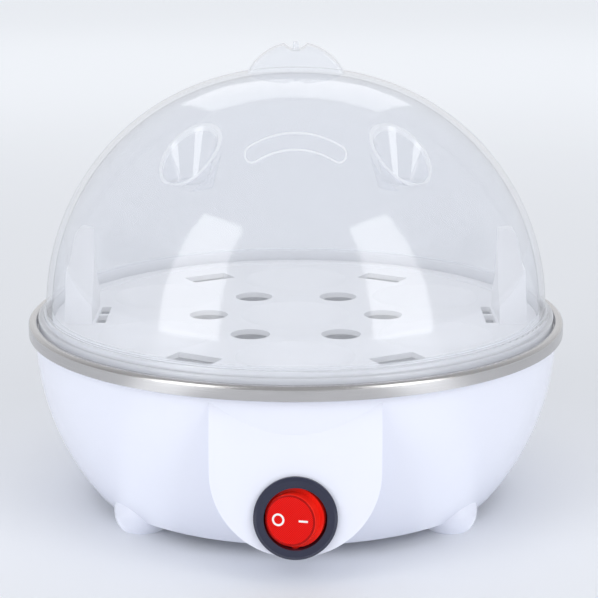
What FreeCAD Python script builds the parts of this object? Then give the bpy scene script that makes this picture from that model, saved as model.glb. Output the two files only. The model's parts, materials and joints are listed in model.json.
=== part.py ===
"""Egg cooker: steel heating dish in a moulded base, egg tray, domed lid and a rocker switch.

Millimetres. The origin lies on the dish's axis in the plane that the feet stand on, +Z is up
and the switch faces -Y.
"""
import FreeCAD, Part
import math
import os

import Sketcher

SIZES = {
    # Stainless heating dish with its rolled outer band
    "well_radius": 72.0,
    "ledge_width": 7.4,
    "band_low": 52.0,
    "band_height": 4.2,
    "band_width": 2.6,
    "band_round": 1.2,
    "sheet": 0.6,
    "ledge_drop": 1.8,
    "well_depth": 23.4,
    "well_corner": 6.0,
    # Moulded base
    "bowl_inset": 2.1,
    "bowl_offset": 2.3,
    "bowl_rise": 1.0,
    "base_wall": 2.4,
    "floor_low": 4.0,
    "floor_thick": 4.0,
    "hem_gap": 0.4,
    # Feet
    "foot_radius": 8.5,
    "foot_centre": 5.5,
    "foot_inset": 4.2,
    # Switch boss on the front of the base
    "boss_half": 23.5,
    "boss_low": 8.2,
    "boss_blend_z": 38.0,
    "boss_blend": 40.0,
    "face_tilt": 6.5,
    "switch_z": 19.3,
    # Bottom cover
    "cover_inset": 13.3,
    "cover_thick": 2.2,
    "cover_gap": 0.3,
    "cover_lip": 8.0,
    "cover_boss": 3.4,
    "cover_boss_top": 13.0,
    "cover_vent_width": 3.0,
    "cover_vent_length": 26.0,
    "cover_vent_step": 8.0,
    # Fixing of the dish
    "post_gap": 5.0,
    "post_radius": 4.5,
    "standoff_height": 6.4,
    "standoff_radius": 4.0,
    "screw_radius": 1.9,
    "screw_head": 3.4,
    "screw_head_height": 2.4,
    "screw_play": 0.25,
    "thread_play": 0.05,
    "head_play": 0.4,
    "thread_reach": 5.0,
    "small_screw": 1.4,
    "small_head": 2.7,
    "small_head_height": 1.1,
    # Heater under the dish
    "spreader_gap": 2.0,
    "spreader_thick": 2.5,
    "heater_inset": 12.0,
    "heater_tube": 3.3,
    "heater_gap_angle": 60.0,
    "bead_radius": 2.6,
    "bead_length": 5.0,
    "pin_radius": 1.2,
    "pin_length": 7.0,
    "shield_margin": 5.0,
    "shield_inset": 7.0,
    "shield_depth": 8.4,
    "shield_hole": 10.5,
    # Thermostat and fuse
    "thermostat_radius": 9.0,
    "thermostat_cap": 2.5,
    "thermostat_body": 5.0,
    "strap_pitch": 14.0,
    "strap_thick": 0.6,
    "blade_width": 6.3,
    "blade_thick": 0.8,
    "thermostat_blade": 8.0,
    "fuse_y": 22.0,
    "fuse_radius": 2.1,
    "fuse_length": 13.0,
    "sleeve_wall": 0.6,
    "sleeve_length": 16.0,
    "clip_thick": 0.6,
    "clip_width": 6.0,
    "clip_foot": 4.0,
    # Rocker switch, measured from the boss face along its outward normal
    "switch_hole": 10.1,
    "bezel_radius": 11.5,
    "bezel_height": 2.0,
    "bezel_chamfer": 0.9,
    "bezel_opening": 8.65,
    "barrel_play": 0.2,
    "barrel_depth": 14.0,
    "barrel_floor": 2.5,
    "wing_reach": 1.2,
    "wing_width": 6.0,
    "wing_length": 4.5,
    "rocker_play": 0.25,
    "rocker_face": 5.0,
    "rocker_skirt": 1.0,
    "button_radius": 7.2,
    "button_round": 0.4,
    "rocker_tail": 3.6,
    "rocker_pivot": 1.5,
    "rocker_rest": 17.0,
    "trunnion_radius": 1.0,
    "trunnion_play": 0.1,
    "plunger_radius": 1.2,
    "plunger_reach": 7.0,
    "plunger_bore": 1.3,
    "lever_gap": 0.25,
    "lever_thick": 0.5,
    "lever_length": 12.0,
    "lever_width": 3.0,
    "lever_rest": 8.0,
    "contact_x": 5.2,
    "contact_gap": 0.15,
    "blade_reach": 8.0,
    "slot_play": 0.1,
    # Mains entry
    "gland_z": 20.0,
    "gland_proud": 3.4,
    "gland_boss": 9.0,
    "gland_barrel": 5.9,
    "gland_bore": 3.4,
    "gland_flange": 7.4,
    "gland_flange_thick": 2.0,
    "gland_nose": 9.0,
    "gland_tip": 4.8,
    "gland_length": 14.0,
    "gland_play": 0.1,
    "block_width": 26.0,
    "block_depth": 11.0,
    "block_height": 9.0,
    "block_gap": 6.0,
    "block_pitch": 8.0,
    "block_screw": 2.0,
    "lead_radius": 1.1,
    "lead_gap": 0.5,
    "lead_bend": 5.5,
    "lead_step": 3.0,
    # Egg tray
    "tray_ledge": 2.1,
    "tray_thick": 1.6,
    "tray_rim": 3.6,
    "tray_well_gap": 0.6,
    "seat_radius": 17.0,
    "seat_depth": 5.0,
    "drain_radius": 5.9,
    "slot_inset": 14.0,
    "slot_length": 15.0,
    "slot_width": 8.0,
    "grip_gap": 1.6,
    "grip_thick": 8.6,
    "grip_taper": 3.1,
    "grip_step": 0.6,
    "grip_step_rise": 17.0,
    "grip_half": 11.8,
    "grip_height": 27.6,
    "grip_round": 2.5,
    "foot_slot_gap": 0.8,
    "foot_slot_width": 3.0,
    "foot_slot_length": 9.2,
    "foot_slot_rib": 1.6,
    # Lid
    "lid_wall": 1.8,
    "lid_gap": 0.4,
    "flange_height": 3.2,
    "flange_width": 2.5,
    "collar_width": 0.8,
    "collar_rise": 1.6,
    "rim_round": 0.5,
    "dome_rise": 6.7,
    "crown_flat": 4.2,
    "knob_radius": 16.1,
    "knob_sink": 8.0,
    "knob_thick": 9.0,
    "knob_round": 1.2,
    "notch_radius": 4.4,
    "notch_depth": 2.1,
    "nub_radius": 0.85,
    "nub_foot": 1.6,
    "nub_height": 1.7,
    "vent_polar": 42.9,
    "vent_azimuth": 35.0,
    "vent_sink": 6.7,
    "vent_radius": 6.0,
    "vent_taper": 15.0,
    "vent_height": 18.0,
    "vent_wall": 1.5,
    "steam_hole": 2.5,
    "badge_drop": 38.2,
    "badge_radius": 24.1,
    "badge_half": 2.2,
    "badge_line": 0.5,
    "badge_relief": 0.35,
    "badge_angle": 30.0,
}

# Radii, places and heights worked out from the sizes, from the well outwards and upwards
DERIVED = {
    "rim_lip": "well_radius + ledge_width",
    "band_radius": "rim_lip + band_width",
    "band_top": "band_low + band_height",
    "ledge": "band_top - ledge_drop",
    "dish_floor": "ledge - well_depth",
    "dish_under": "dish_floor - sheet",
    "bowl_radius": "band_radius - bowl_inset",
    "bowl_arc": "bowl_radius - bowl_offset",
    "bowl_foot": "bowl_offset + sqrt(bowl_arc ^ 2 - (band_low - floor_low) ^ 2)",
    "base_top": "band_low + bowl_rise",
    "floor_top": "floor_low + floor_thick",
    "foot_pitch": "bowl_foot - foot_inset",
    "face_reach": "band_radius",
    "cover_radius": "bowl_foot - cover_inset",
    "cover_top": "floor_low + cover_thick",
    "cover_hole": "cover_radius - cover_lip",
    "cover_pitch": "cover_radius - cover_lip / 2",
    "cover_seat": "floor_low + small_head_height",
    "post_pitch": "cover_radius + post_gap",
    "screw_seat": "floor_low + screw_head_height + head_play",
    "standoff_low": "dish_under - standoff_height",
    "shield_low": "standoff_low - sheet",
    "shield_floor": "shield_low - shield_depth",
    "shield_rim": "post_pitch + shield_margin",
    "shield_radius": "post_pitch - shield_inset",
    "spreader_radius": "shield_radius - spreader_gap",
    "spreader_low": "dish_under - spreader_thick",
    "heater_pitch": "spreader_radius - heater_inset",
    "heater_z": "spreader_low - heater_tube",
    "sleeve_radius": "fuse_radius + sleeve_wall",
    "fuse_z": "spreader_low - sleeve_radius - clip_thick",
    "rocker_ball": "bezel_opening - rocker_play",
    "barrel_radius": "switch_hole - barrel_play",
    "pivot_z": "-rocker_pivot",
    "lever_axis": "pivot_z - plunger_reach - lever_gap - lever_thick / 2",
    "lever_under": "lever_axis - lever_thick / 2 - contact_gap",
    "housing_floor": "barrel_floor - barrel_depth",
    "contact_top": "lever_under - contact_x * sin(lever_rest)",
    "blade_tip": "-(barrel_depth + blade_reach)",
    "gland_y": "bowl_offset + sqrt(bowl_arc ^ 2 - (band_low - gland_z) ^ 2) + gland_proud",
    "block_front": "cover_hole + block_gap",
    "tray_radius": "well_radius + tray_ledge",
    "tray_plate": "ledge + tray_thick / 2",
    "seat_pitch": "well_radius * 2 / 3",
    "drain_pitch": "well_radius * 3 / 8",
    "slot_pitch": "well_radius - slot_inset",
    "grip_outer": "well_radius - grip_gap",
    "grip_inner": "grip_outer - grip_thick",
    "grip_top_outer": "grip_outer - grip_taper",
    "flange_radius": "rim_lip - lid_gap",
    "flange_top": "ledge + flange_height",
    "dome_radius": "flange_radius - flange_width",
    "spring_line": "band_low + dome_rise",
    "dome_arc": "dome_radius - crown_flat",
    "apex": "spring_line + dome_arc",
    "knob_centre": "apex - knob_sink",
    "vent_pitch": "crown_flat + dome_arc * sin(vent_polar)",
    "vent_floor": "spring_line + dome_arc * cos(vent_polar) - vent_sink",
    "badge_centre": "apex - badge_drop",
}

doc = FreeCAD.newDocument("EggCooker")
sheet = doc.addObject("Spreadsheet::Sheet", "Sizes")


class Formula:
    """A spreadsheet formula together with the value that it has now."""

    def __init__(self, text, number):
        self.text = text
        self.number = number

    def __add__(self, other):
        other = formula(other)
        return Formula(f"({self.text} + {other.text})", self.number + other.number)

    def __sub__(self, other):
        other = formula(other)
        return Formula(f"({self.text} - {other.text})", self.number - other.number)

    def __mul__(self, other):
        other = formula(other)
        return Formula(f"({self.text} * {other.text})", self.number * other.number)

    def __truediv__(self, other):
        other = formula(other)
        return Formula(f"({self.text} / {other.text})", self.number / other.number)

    def __radd__(self, other):
        return formula(other) + self

    def __rsub__(self, other):
        return formula(other) - self

    def __rmul__(self, other):
        return formula(other) * self

    def __neg__(self):
        return formula(0.0) - self


def formula(item):
    if isinstance(item, Formula):
        return item
    return Formula(f"({item!r})", float(item))


def root(item):
    return Formula(f"sqrt({item.text})", math.sqrt(item.number))


def sine(angle):
    angle = formula(angle)
    return Formula(f"sin({angle.text})", math.sin(math.radians(angle.number)))


def cosine(angle):
    angle = formula(angle)
    return Formula(f"cos({angle.text})", math.cos(math.radians(angle.number)))


def tangent(angle):
    return sine(angle) / cosine(angle)


class Sizes:
    """The sheet's cells, one attribute for each."""


size = Sizes()
CELLS = {alias: str(number) for alias, number in SIZES.items()}
CELLS.update({alias: f"={text}" for alias, text in DERIVED.items()})
for row, (alias, content) in enumerate(CELLS.items(), start=1):
    sheet.set(f"A{row}", alias)
    sheet.set(f"B{row}", content)
    sheet.setAlias(f"B{row}", alias)
doc.recompute()
for alias in CELLS:
    setattr(size, alias, Formula(f"Sizes.{alias}", float(sheet.get(alias))))

X_AXIS = FreeCAD.Vector(1, 0, 0)
Y_AXIS = FreeCAD.Vector(0, 1, 0)
Z_AXIS = FreeCAD.Vector(0, 0, 1)
QUARTER = 90
FULL = 360

POST_ANGLES = (0, 120, 240)
COVER_ANGLES = (60, 180, 300)
FOOT_ANGLES = (40, 140, 220, 320)
SEAT_ANGLES = range(30, 360, 60)
DRAIN_ANGLES = range(0, 360, 60)
SLOT_ANGLES = (60, 120, 240, 300)
SIDES = (-1, 1)
COLUMNS = (-1, 0, 1)
ROW_SHARES = (0.25, 0.75)
BEND_SHARE = 0.45


def bind(item, name, value):
    item.setExpression(name, formula(value).text)


def place(item, x=0, y=0, z=0, axis=Z_AXIS, angle=0):
    """Turn an object about an axis and move it, with every coordinate bound."""
    item.Placement = FreeCAD.Placement(FreeCAD.Vector(), FreeCAD.Rotation(axis, formula(angle).number))
    if isinstance(angle, Formula):
        bind(item, "Placement.Rotation.Angle", angle)
    for name, value in (("x", x), ("y", y), ("z", z)):
        bind(item, f"Placement.Base.{name}", value)
    return item


def primitive(kind, label, **sizes):
    item = doc.addObject(f"Part::{kind}", label)
    item.Label = label
    for name, value in sizes.items():
        bind(item, name, value)
    return item


def cylinder(label, radius, low, high, x=0, y=0):
    """Upright cylinder between two heights."""
    item = primitive("Cylinder", label, Radius=radius, Height=formula(high) - low)
    return place(item, x, y, low)


def cross_cylinder(label, radius, low, high, x=0, z=0):
    """Cylinder along Y between two places."""
    item = primitive("Cylinder", label, Radius=radius, Height=formula(high) - low)
    return place(item, x, low, z, X_AXIS, -QUARTER)


def box(label, x, y, z):
    """Box between pairs of limits."""
    spans = [formula(high) - low for low, high in (x, y, z)]
    item = primitive("Box", label, Length=spans[0], Width=spans[1], Height=spans[2])
    return place(item, x[0], y[0], z[0])


def sphere(label, radius, x=0, y=0, z=0):
    return place(primitive("Sphere", label, Radius=radius), x, y, z)


def fuse(label, pieces):
    item = doc.addObject("Part::MultiFuse", label)
    item.Shapes = pieces
    item.Refine = True
    return item


def common(label, pieces):
    item = doc.addObject("Part::MultiCommon", label)
    item.Shapes = pieces
    return item


def cut(label, base, tools):
    item = doc.addObject("Part::Cut", label)
    item.Base = base
    item.Tool = tools[0] if len(tools) == 1 else fuse(f"{label}_tools", tools)
    item.Refine = True
    return item


def group(label, pieces):
    """Separate solids that share one node."""
    item = doc.addObject("Part::Compound", label)
    item.Links = pieces
    return item


def around(radius, angle):
    """Place on a circle about the vertical axis."""
    return radius * cosine(angle), radius * sine(angle)


def arc_between(start, end, radius, turn):
    """Minor arc; turn 1 runs counter-clockwise from start to end, -1 clockwise."""
    middle = (start + end) / 2
    chord = end - start
    left = FreeCAD.Vector(-chord.y, chord.x, 0).normalize()
    rise = math.sqrt(max(radius ** 2 - (chord.Length / 2) ** 2, 0.0))
    centre = middle + left * rise * turn
    ends = [math.atan2(point.y - centre.y, point.x - centre.x) for point in (start, end)]
    first, last = ends if turn > 0 else reversed(ends)
    return Part.ArcOfCircle(Part.Circle(centre, Z_AXIS, radius), first, last)


def hold(sketch, geometry, end, x, y):
    """Tie one end of a sketch line to its two coordinates."""
    for kind, value, axis in (("DistanceX", x, -2), ("DistanceY", y, -1)):
        value = formula(value)
        if abs(value.number) < 1e-9:
            sketch.addConstraint(Sketcher.Constraint("PointOnObject", geometry, end, axis))
            continue
        index = sketch.addConstraint(Sketcher.Constraint(kind, -1, 1, geometry, end, value.number))
        bind(sketch, f"Constraints[{index}]", value)


def outline(sketch, corners):
    """Closed outline. A corner is (x, y), or (x, y, radius, turn) where an arc leads to it."""
    first = sketch.GeometryCount
    count = len(corners)
    places = [FreeCAD.Vector(formula(c[0]).number, formula(c[1]).number, 0) for c in corners]
    ends = []
    for index, corner in enumerate(corners):
        start, end = places[index - 1], places[index]
        if len(corner) == 2:
            sketch.addGeometry(Part.LineSegment(start, end))
            ends.append((1, 2))
            continue
        radius, turn = formula(corner[2]), corner[3]
        geometry = sketch.addGeometry(arc_between(start, end, radius.number, turn))
        ends.append((1, 2) if turn > 0 else (2, 1))
        held = sketch.addConstraint(Sketcher.Constraint("Radius", geometry, radius.number))
        bind(sketch, f"Constraints[{held}]", radius)
    for index, corner in enumerate(corners):
        follower = (index + 1) % count
        tail, head = ends[follower][0], ends[index][1]
        sketch.addConstraint(
            Sketcher.Constraint("Coincident", first + index, head, first + follower, tail))
        hold(sketch, first + index, head, corner[0], corner[1])


def circle(sketch, radius, x=0, y=0):
    radius = formula(radius)
    centre = FreeCAD.Vector(formula(x).number, formula(y).number, 0)
    geometry = sketch.addGeometry(Part.Circle(centre, Z_AXIS, radius.number))
    held = sketch.addConstraint(Sketcher.Constraint("Radius", geometry, radius.number))
    bind(sketch, f"Constraints[{held}]", radius)
    hold(sketch, geometry, 3, x, y)


def new_body(label):
    body = doc.addObject("PartDesign::Body", label)
    body.Label = label
    return body


def sketch_on(body, role, offset=0):
    """Sketch on one of the body's own planes, shifted along that plane's normal."""
    sketch = body.newObject("Sketcher::SketchObject", f"{body.Label}_sketch")
    plane = next(item for item in body.Origin.OriginFeatures if item.Role == role)
    sketch.AttachmentSupport = (plane, [""])
    sketch.MapMode = "FlatFace"
    bind(sketch, "AttachmentOffset.Base.z", offset)
    return sketch


def revolve(label, corners):
    """Body turned about the vertical axis from an outline of radii and heights."""
    body = new_body(label)
    sketch = sketch_on(body, "XZ_Plane")
    outline(sketch, corners)
    turned = body.newObject("PartDesign::Revolution", f"{label}_turned")
    turned.Profile = sketch
    turned.ReferenceAxis = (sketch, ["V_Axis"])
    turned.Angle = FULL
    return body


def pad(body, sketch, length, midplane=False):
    feature = body.newObject("PartDesign::Pad", f"{body.Label}_pad")
    feature.Profile = sketch
    feature.Midplane = midplane
    bind(feature, "Length", length)
    return feature


def slab(label, role, corners, length, offset=0, midplane=False):
    """Body padded from one outline on one plane."""
    body = new_body(label)
    sketch = sketch_on(body, role, offset)
    outline(sketch, corners)
    pad(body, sketch, length, midplane)
    return body


def plate(label, corners_list, circles, low, high):
    """Flat plate between two heights, with outlines and round holes in one sketch."""
    body = new_body(label)
    sketch = sketch_on(body, "XY_Plane", low)
    for corners in corners_list:
        outline(sketch, corners)
    for radius, x, y in circles:
        circle(sketch, radius, x, y)
    pad(body, sketch, formula(high) - low)
    return body


def rectangle(x, y):
    return [(x[0], y[0]), (x[1], y[0]), (x[1], y[1]), (x[0], y[1])]


def screws(label, radius, head_radius, head_low, head_height, tip, places):
    """Pan-head screws driven from below."""
    pieces = []
    for index, (x, y) in enumerate(places):
        head = cylinder(f"{label}_head_{index}", head_radius, head_low, head_low + head_height, x, y)
        shank = cylinder(f"{label}_shank_{index}", radius, head_low + head_height, tip, x, y)
        pieces.append(fuse(f"{label}_{index}", [head, shank]))
    return group(label, pieces)


def bowl_at(arc, height):
    """Radius of the bowl's wall at a height under the band."""
    drop = size.band_low - height
    return size.bowl_offset + root(arc * arc - drop * drop)


def make_dish():
    """Stainless dish: water well, lid ledge and the rolled band round the rim."""
    under = size.sheet
    outer, inner = size.band_radius, size.band_radius - size.sheet
    corner = size.well_corner
    wall = size.well_radius
    hem_inner = size.bowl_radius + size.hem_gap
    lip_round = size.sheet
    return revolve("heating_dish", [
        (0, size.dish_floor),
        (wall - corner, size.dish_floor),
        (wall, size.dish_floor + corner, corner, 1),
        (wall, size.ledge - under),
        (wall + under, size.ledge, under, -1),
        (size.rim_lip, size.ledge),
        (size.rim_lip, size.band_top - lip_round),
        (size.rim_lip + lip_round, size.band_top, lip_round, -1),
        (outer - size.band_round, size.band_top),
        (outer, size.band_top - size.band_round, size.band_round, -1),
        (outer, size.band_low),
        (hem_inner, size.band_low),
        (hem_inner, size.band_low + under),
        (inner, size.band_low + under),
        (inner, size.band_top - size.band_round),
        (outer - size.band_round, size.band_top - under, size.band_round - under, 1),
        (size.rim_lip + under, size.band_top - under),
        (size.rim_lip + under, size.ledge - under),
        (wall + under, size.ledge - under),
        (wall + under, size.dish_floor + corner),
        (wall - corner, size.dish_under, corner + under, -1),
        (0, size.dish_under),
    ])


def make_seal():
    return revolve("rim_seal", [
        (size.bowl_radius - size.base_wall, size.base_top),
        (size.bowl_radius, size.base_top),
        (size.bowl_radius, size.ledge - size.sheet),
        (size.bowl_radius - size.base_wall, size.ledge - size.sheet),
    ])


def boss_side(label, inset, half, low):
    """Switch boss: U-shaped front view, leaning face that bends back under the band."""
    tilt = size.face_tilt
    reach = inset / cosine(tilt) - size.face_reach
    blend = size.boss_blend - inset
    top = size.band_low - size.bowl_rise
    bend_y = reach + (size.boss_blend_z - size.switch_z) * tangent(tilt)
    centre_y = bend_y + blend * cosine(tilt)
    rise = top - size.boss_blend_z + blend * sine(tilt)
    foot_y = reach - size.switch_z * tangent(tilt)
    back = -size.cover_radius
    profile = slab(f"{label}_profile", "YZ_Plane", [
        (foot_y, 0),
        (back, 0),
        (back, top),
        (centre_y - root(blend * blend - rise * rise), top),
        (bend_y, size.boss_blend_z, blend, 1),
    ], 2 * half, midplane=True)
    arch = low + half
    front = slab(f"{label}_front", "XZ_Plane", [
        (-half, top),
        (-half, arch),
        (0, low, half, 1),
        (half, arch, half, 1),
        (half, top),
    ], size.band_radius + size.face_reach)
    return common(label, [profile, front])


def make_base():
    """Bowl with four feet, switch boss, cord entry, dish posts and cover screw bosses."""
    inner_arc = size.bowl_arc - size.base_wall
    inner_top = size.bowl_radius - size.base_wall
    outer = revolve("bowl_outside", [
        (0, size.floor_low),
        (size.bowl_foot, size.floor_low),
        (size.bowl_radius, size.band_low, size.bowl_arc, 1),
        (size.bowl_radius, size.base_top),
        (0, size.base_top),
    ])
    inner = revolve("bowl_inside", [
        (0, size.floor_top),
        (bowl_at(inner_arc, size.floor_top), size.floor_top),
        (inner_top, size.band_low, inner_arc, 1),
        (inner_top, size.base_top + size.bowl_rise),
        (0, size.base_top + size.bowl_rise),
    ])
    feet, hollows = [], []
    for index, angle in enumerate(FOOT_ANGLES):
        x, y = around(size.foot_pitch, angle)
        ball = sphere(f"foot_ball_{index}", size.foot_radius, x, y, size.foot_centre)
        over = cylinder(f"foot_over_{index}", size.foot_radius, 0, size.foot_centre * 2, x, y)
        feet.append(common(f"foot_{index}", [ball, over]))
        hollows.append(sphere(
            f"foot_hollow_{index}", size.foot_radius - size.base_wall, x, y,
            size.foot_centre + size.base_wall))
    boss = boss_side("boss", formula(0.0), size.boss_half, size.boss_low)
    entry = cross_cylinder("entry_boss", size.gland_boss, size.block_front, size.gland_y, 0, size.gland_z)
    solid = fuse("base_solid", [outer, boss, entry] + feet)
    room = boss_side("boss_room_full", size.base_wall, size.boss_half - size.base_wall,
                     size.boss_low + size.base_wall)
    below = cylinder("boss_room_limit", size.band_radius * 2, 0, size.boss_blend_z)
    boss_room = common("boss_room", [room, below])
    hollow = cut("base_hollow", solid, [inner, boss_room] + hollows)
    posts = []
    for index, angle in enumerate(POST_ANGLES):
        x, y = around(size.post_pitch, angle)
        posts.append(cylinder(f"post_{index}", size.post_radius, size.cover_top, size.shield_low, x, y))
    for index, angle in enumerate(COVER_ANGLES):
        x, y = around(size.cover_pitch, angle)
        posts.append(cylinder(
            f"cover_boss_{index}", size.cover_boss, size.cover_top, size.cover_boss_top, x, y))
    filled = fuse("base_filled", [hollow] + posts)
    openings = [
        cylinder("cover_recess", size.cover_radius + size.cover_gap, 0, size.cover_top),
        cylinder("cover_opening", size.cover_hole, 0, size.floor_top),
        cross_cylinder("entry_hole", size.gland_barrel + size.gland_play,
                       size.block_front, size.band_radius, 0, size.gland_z),
    ]
    for index, angle in enumerate(POST_ANGLES):
        x, y = around(size.post_pitch, angle)
        openings.append(cylinder(
            f"post_hole_{index}", size.screw_radius + size.screw_play, 0, size.dish_under, x, y))
        openings.append(cylinder(
            f"post_recess_{index}", size.screw_head + size.head_play, 0, size.screw_seat, x, y))
    for index, angle in enumerate(COVER_ANGLES):
        x, y = around(size.cover_pitch, angle)
        openings.append(cylinder(
            f"cover_boss_hole_{index}", size.small_screw + size.thread_play,
            size.floor_low, size.cover_boss_top + size.cover_thick, x, y))
    switch_hole = cylinder("switch_hole", size.switch_hole, -size.barrel_depth, size.bezel_height)
    openings.append(on_face(switch_hole, size.barrel_depth))
    kept = cut("base_cut", filled, openings)
    return solid_of("base_shell", kept)


def solid_of(label, item):
    """Give a finished shape its node name."""
    item.Label = label
    return item


def on_face(item, depth=0):
    """Seat an object on the boss face, with its own Z along the face's outward normal."""
    tilt = size.face_tilt
    y = depth * cosine(tilt) - size.face_reach
    z = size.switch_z - depth * sine(tilt)
    return place(item, 0, y, z, X_AXIS, QUARTER - tilt)


def make_cover():
    """Vented bottom cover with counterbored screw holes."""
    half = size.cover_vent_length / 2
    vents = []
    for step in (-2, -1, 0, 1, 2):
        x = size.cover_vent_step * step
        vents.append(rectangle((x - size.cover_vent_width / 2, x + size.cover_vent_width / 2),
                               (-half, half)))
    holes = [(size.cover_radius, 0, 0)]
    places = [around(size.cover_pitch, angle) for angle in COVER_ANGLES]
    holes += [(size.small_screw + size.screw_play, x, y) for x, y in places]
    disc = plate("cover_disc", vents, holes, size.floor_low, size.cover_top)
    seats = [
        cylinder(f"cover_seat_{index}", size.small_head + size.head_play, size.floor_low,
                 size.cover_seat, x, y)
        for index, (x, y) in enumerate(places)
    ]
    return solid_of("bottom_cover", cut("cover_cut", disc, seats))


def make_cover_screws():
    places = [around(size.cover_pitch, angle) for angle in COVER_ANGLES]
    return screws("cover_screws", size.small_screw, size.small_head, size.floor_low,
                  size.small_head_height, size.cover_boss_top, places)


def make_dish_screws():
    places = [around(size.post_pitch, angle) for angle in POST_ANGLES]
    head_low = size.screw_seat - size.screw_head_height
    return screws("dish_screws", size.screw_radius, size.screw_head, head_low,
                  size.screw_head_height, size.standoff_low + size.thread_reach, places)


def make_standoffs():
    """Tapped standoffs welded under the dish."""
    pieces = []
    for index, angle in enumerate(POST_ANGLES):
        x, y = around(size.post_pitch, angle)
        pieces.append(plate(
            f"standoff_{index}", [],
            [(size.standoff_radius, x, y), (size.screw_radius + size.thread_play, x, y)],
            size.standoff_low, size.dish_under))
    return group("dish_standoffs", pieces)


def make_shield():
    """Pressed heat shield, clamped between posts and standoffs."""
    rim, wall, thick = size.shield_rim, size.shield_radius, size.sheet
    floor = size.shield_floor
    pan = revolve("shield_pan", [
        (0, floor),
        (wall, floor),
        (wall, size.shield_low),
        (rim, size.shield_low),
        (rim, size.standoff_low),
        (wall - thick, size.standoff_low),
        (wall - thick, floor + thick),
        (0, floor + thick),
    ])
    holes = []
    for index, angle in enumerate(POST_ANGLES):
        x, y = around(size.post_pitch, angle)
        holes.append(cylinder(f"shield_fix_{index}", size.screw_radius + size.screw_play,
                              floor, size.dish_under, x, y))
    for side in SIDES:
        holes.append(cylinder(f"shield_pass_{side + 1}", size.shield_hole, floor - thick, size.shield_low,
                              0, size.heater_pitch * side))
    return solid_of("heat_shield", cut("shield_cut", pan, holes))


def make_spreader():
    """Aluminium plate under the dish with two bosses for the thermostat strap."""
    disc = cylinder("spreader_disc", size.spreader_radius, size.spreader_low, size.dish_under)
    strap_top = size.spreader_low - size.thermostat_cap
    bosses, holes = [], []
    for side in SIDES:
        x = size.strap_pitch * side
        bosses.append(cylinder(f"spreader_boss_{side + 1}", size.small_head, strap_top, size.dish_under, x))
        holes.append(cylinder(f"spreader_hole_{side + 1}", size.small_screw + size.thread_play,
                              strap_top - size.sheet, size.spreader_low, x))
    solid = fuse("spreader_solid", [disc] + bosses)
    return solid_of("spreader_plate", cut("spreader_cut", solid, holes))


def heater_end(label, side, radius, start, length):
    """Round piece that carries on along the heater's tangent, past one of its two ends."""
    half_gap = size.heater_gap_angle / 2
    x = size.heater_pitch * sine(half_gap) - start * cosine(half_gap)
    y = -(size.heater_pitch * cosine(half_gap)) - start * sine(half_gap)
    item = primitive("Cylinder", label, Radius=radius, Height=length)
    heading = FreeCAD.Rotation(Z_AXIS, math.degrees(math.atan2(
        -sine(half_gap).number, -side * cosine(half_gap).number)))
    item.Placement = FreeCAD.Placement(
        FreeCAD.Vector(), heading * FreeCAD.Rotation(Y_AXIS, QUARTER))
    for name, value in (("x", x * side), ("y", y), ("z", size.heater_z)):
        bind(item, f"Placement.Base.{name}", value)
    return item


def make_heater():
    """Sheathed ring element, open at the front, with ceramic beads and cold pins."""
    ring = primitive("Torus", "heater_tube", Radius1=size.heater_pitch, Radius2=size.heater_tube,
                     Angle3=FULL - size.heater_gap_angle)
    place(ring, 0, 0, size.heater_z, Z_AXIS, size.heater_gap_angle / 2 - QUARTER)
    beads = [heater_end(f"bead_{side + 1}", side, size.bead_radius, formula(0.0), size.bead_length)
             for side in SIDES]
    pins = [heater_end(f"pin_{side + 1}", side, size.pin_radius, size.bead_length, size.pin_length)
            for side in SIDES]
    return [ring, group("heater_beads", beads), group("heater_pins", pins)]


def make_thermostat():
    """Bimetal thermostat pressed to the plate by a strap with two screws."""
    cap_low = size.spreader_low - size.thermostat_cap
    body_low = cap_low - size.thermostat_body
    strap_low = cap_low - size.strap_thick
    neck = size.thermostat_radius - size.strap_thick
    cap = cylinder("thermostat_cap", size.thermostat_radius, cap_low, size.spreader_low)
    body = cylinder("thermostat_body", neck, body_low, cap_low)
    end_x = size.strap_pitch + size.small_head + size.strap_thick
    half = size.thermostat_radius + size.strap_thick
    strap_holes = [(neck + size.screw_play, 0, 0)]
    strap_holes += [(size.small_screw + size.screw_play, size.strap_pitch * side, 0) for side in SIDES]
    strap = plate("thermostat_strap", [rectangle((-end_x, end_x), (-half, half))], strap_holes,
                  strap_low, cap_low)
    strap_screws = screws(
        "strap_screws", size.small_screw, size.small_head, strap_low - size.small_head_height,
        size.small_head_height, size.spreader_low, [(size.strap_pitch * side, 0) for side in SIDES])
    blades = []
    middle = body_low + size.thermostat_body / 2
    for side in SIDES:
        near, far = neck, neck + size.thermostat_blade
        span = (near, far) if side > 0 else (-far, -near)
        blades.append(box(f"thermostat_blade_{side + 1}",
                          (-(size.blade_width / 2), size.blade_width / 2), span,
                          (middle - size.blade_thick / 2, middle + size.blade_thick / 2)))
    return [cap, body, strap, strap_screws, group("thermostat_blades", blades)]


def along_x(item, start):
    return place(item, start, size.fuse_y, size.fuse_z, Y_AXIS, QUARTER)


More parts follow.
